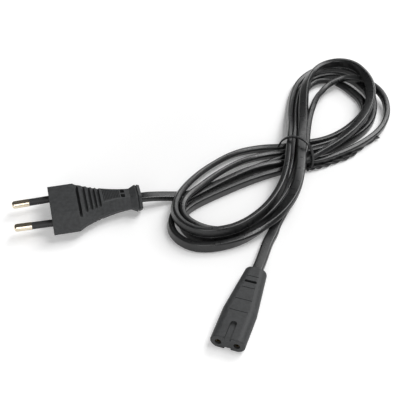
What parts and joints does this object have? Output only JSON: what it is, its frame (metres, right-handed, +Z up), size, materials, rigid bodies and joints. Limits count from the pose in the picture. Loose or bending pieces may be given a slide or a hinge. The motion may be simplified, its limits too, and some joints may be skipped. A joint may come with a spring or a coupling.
{
  "type": "mains power cord",
  "caption": "Black flat mains lead, wound as a tied figure-eight hank, between a flat moulded plug with sleeved round pins and a slim moulded appliance connector.",
  "frame": {"origin": "centre of the flat underside of the plug's block, on the surface the lead lies on", "axes": "+X from the plug's pins towards its cord, +Y across the plug, +Z up from the surface the lead lies on"},
  "size_m": [0.2282, 0.2092, 0.0137],
  "materials": {
    "housing": "fine matt moulded soft plastic",
    "carrier_plastic": "plain hard plastic",
    "pin_metal": "polished nickel plate on brass",
    "sleeve_plastic": "smooth plastic",
    "contact_metal": "plain rolled brass",
    "line_insulation": "plain insulation",
    "neutral_insulation": "plain insulation",
    "cord_sheath": "satin soft plastic",
    "tie_plastic": "satin plastic over wire"
  },
  "bodies": {
    "root": {"plug_body": "housing", "connector_body": "housing", "pin_bridge": "carrier_plastic", "contact_carrier": "carrier_plastic", "line_pin": "pin_metal", "neutral_pin": "pin_metal", "line_pin_sleeve": "sleeve_plastic", "neutral_pin_sleeve": "sleeve_plastic", "line_contact": "contact_metal", "neutral_contact": "contact_metal", "plug_line_core": "line_insulation", "connector_line_core": "line_insulation", "plug_neutral_core": "neutral_insulation", "connector_neutral_core": "neutral_insulation", "plug_tail": "cord_sheath", "connector_tail": "cord_sheath", "cord_hank": "cord_sheath", "twist_tie": "tie_plastic"}
  },
  "joints": []
}
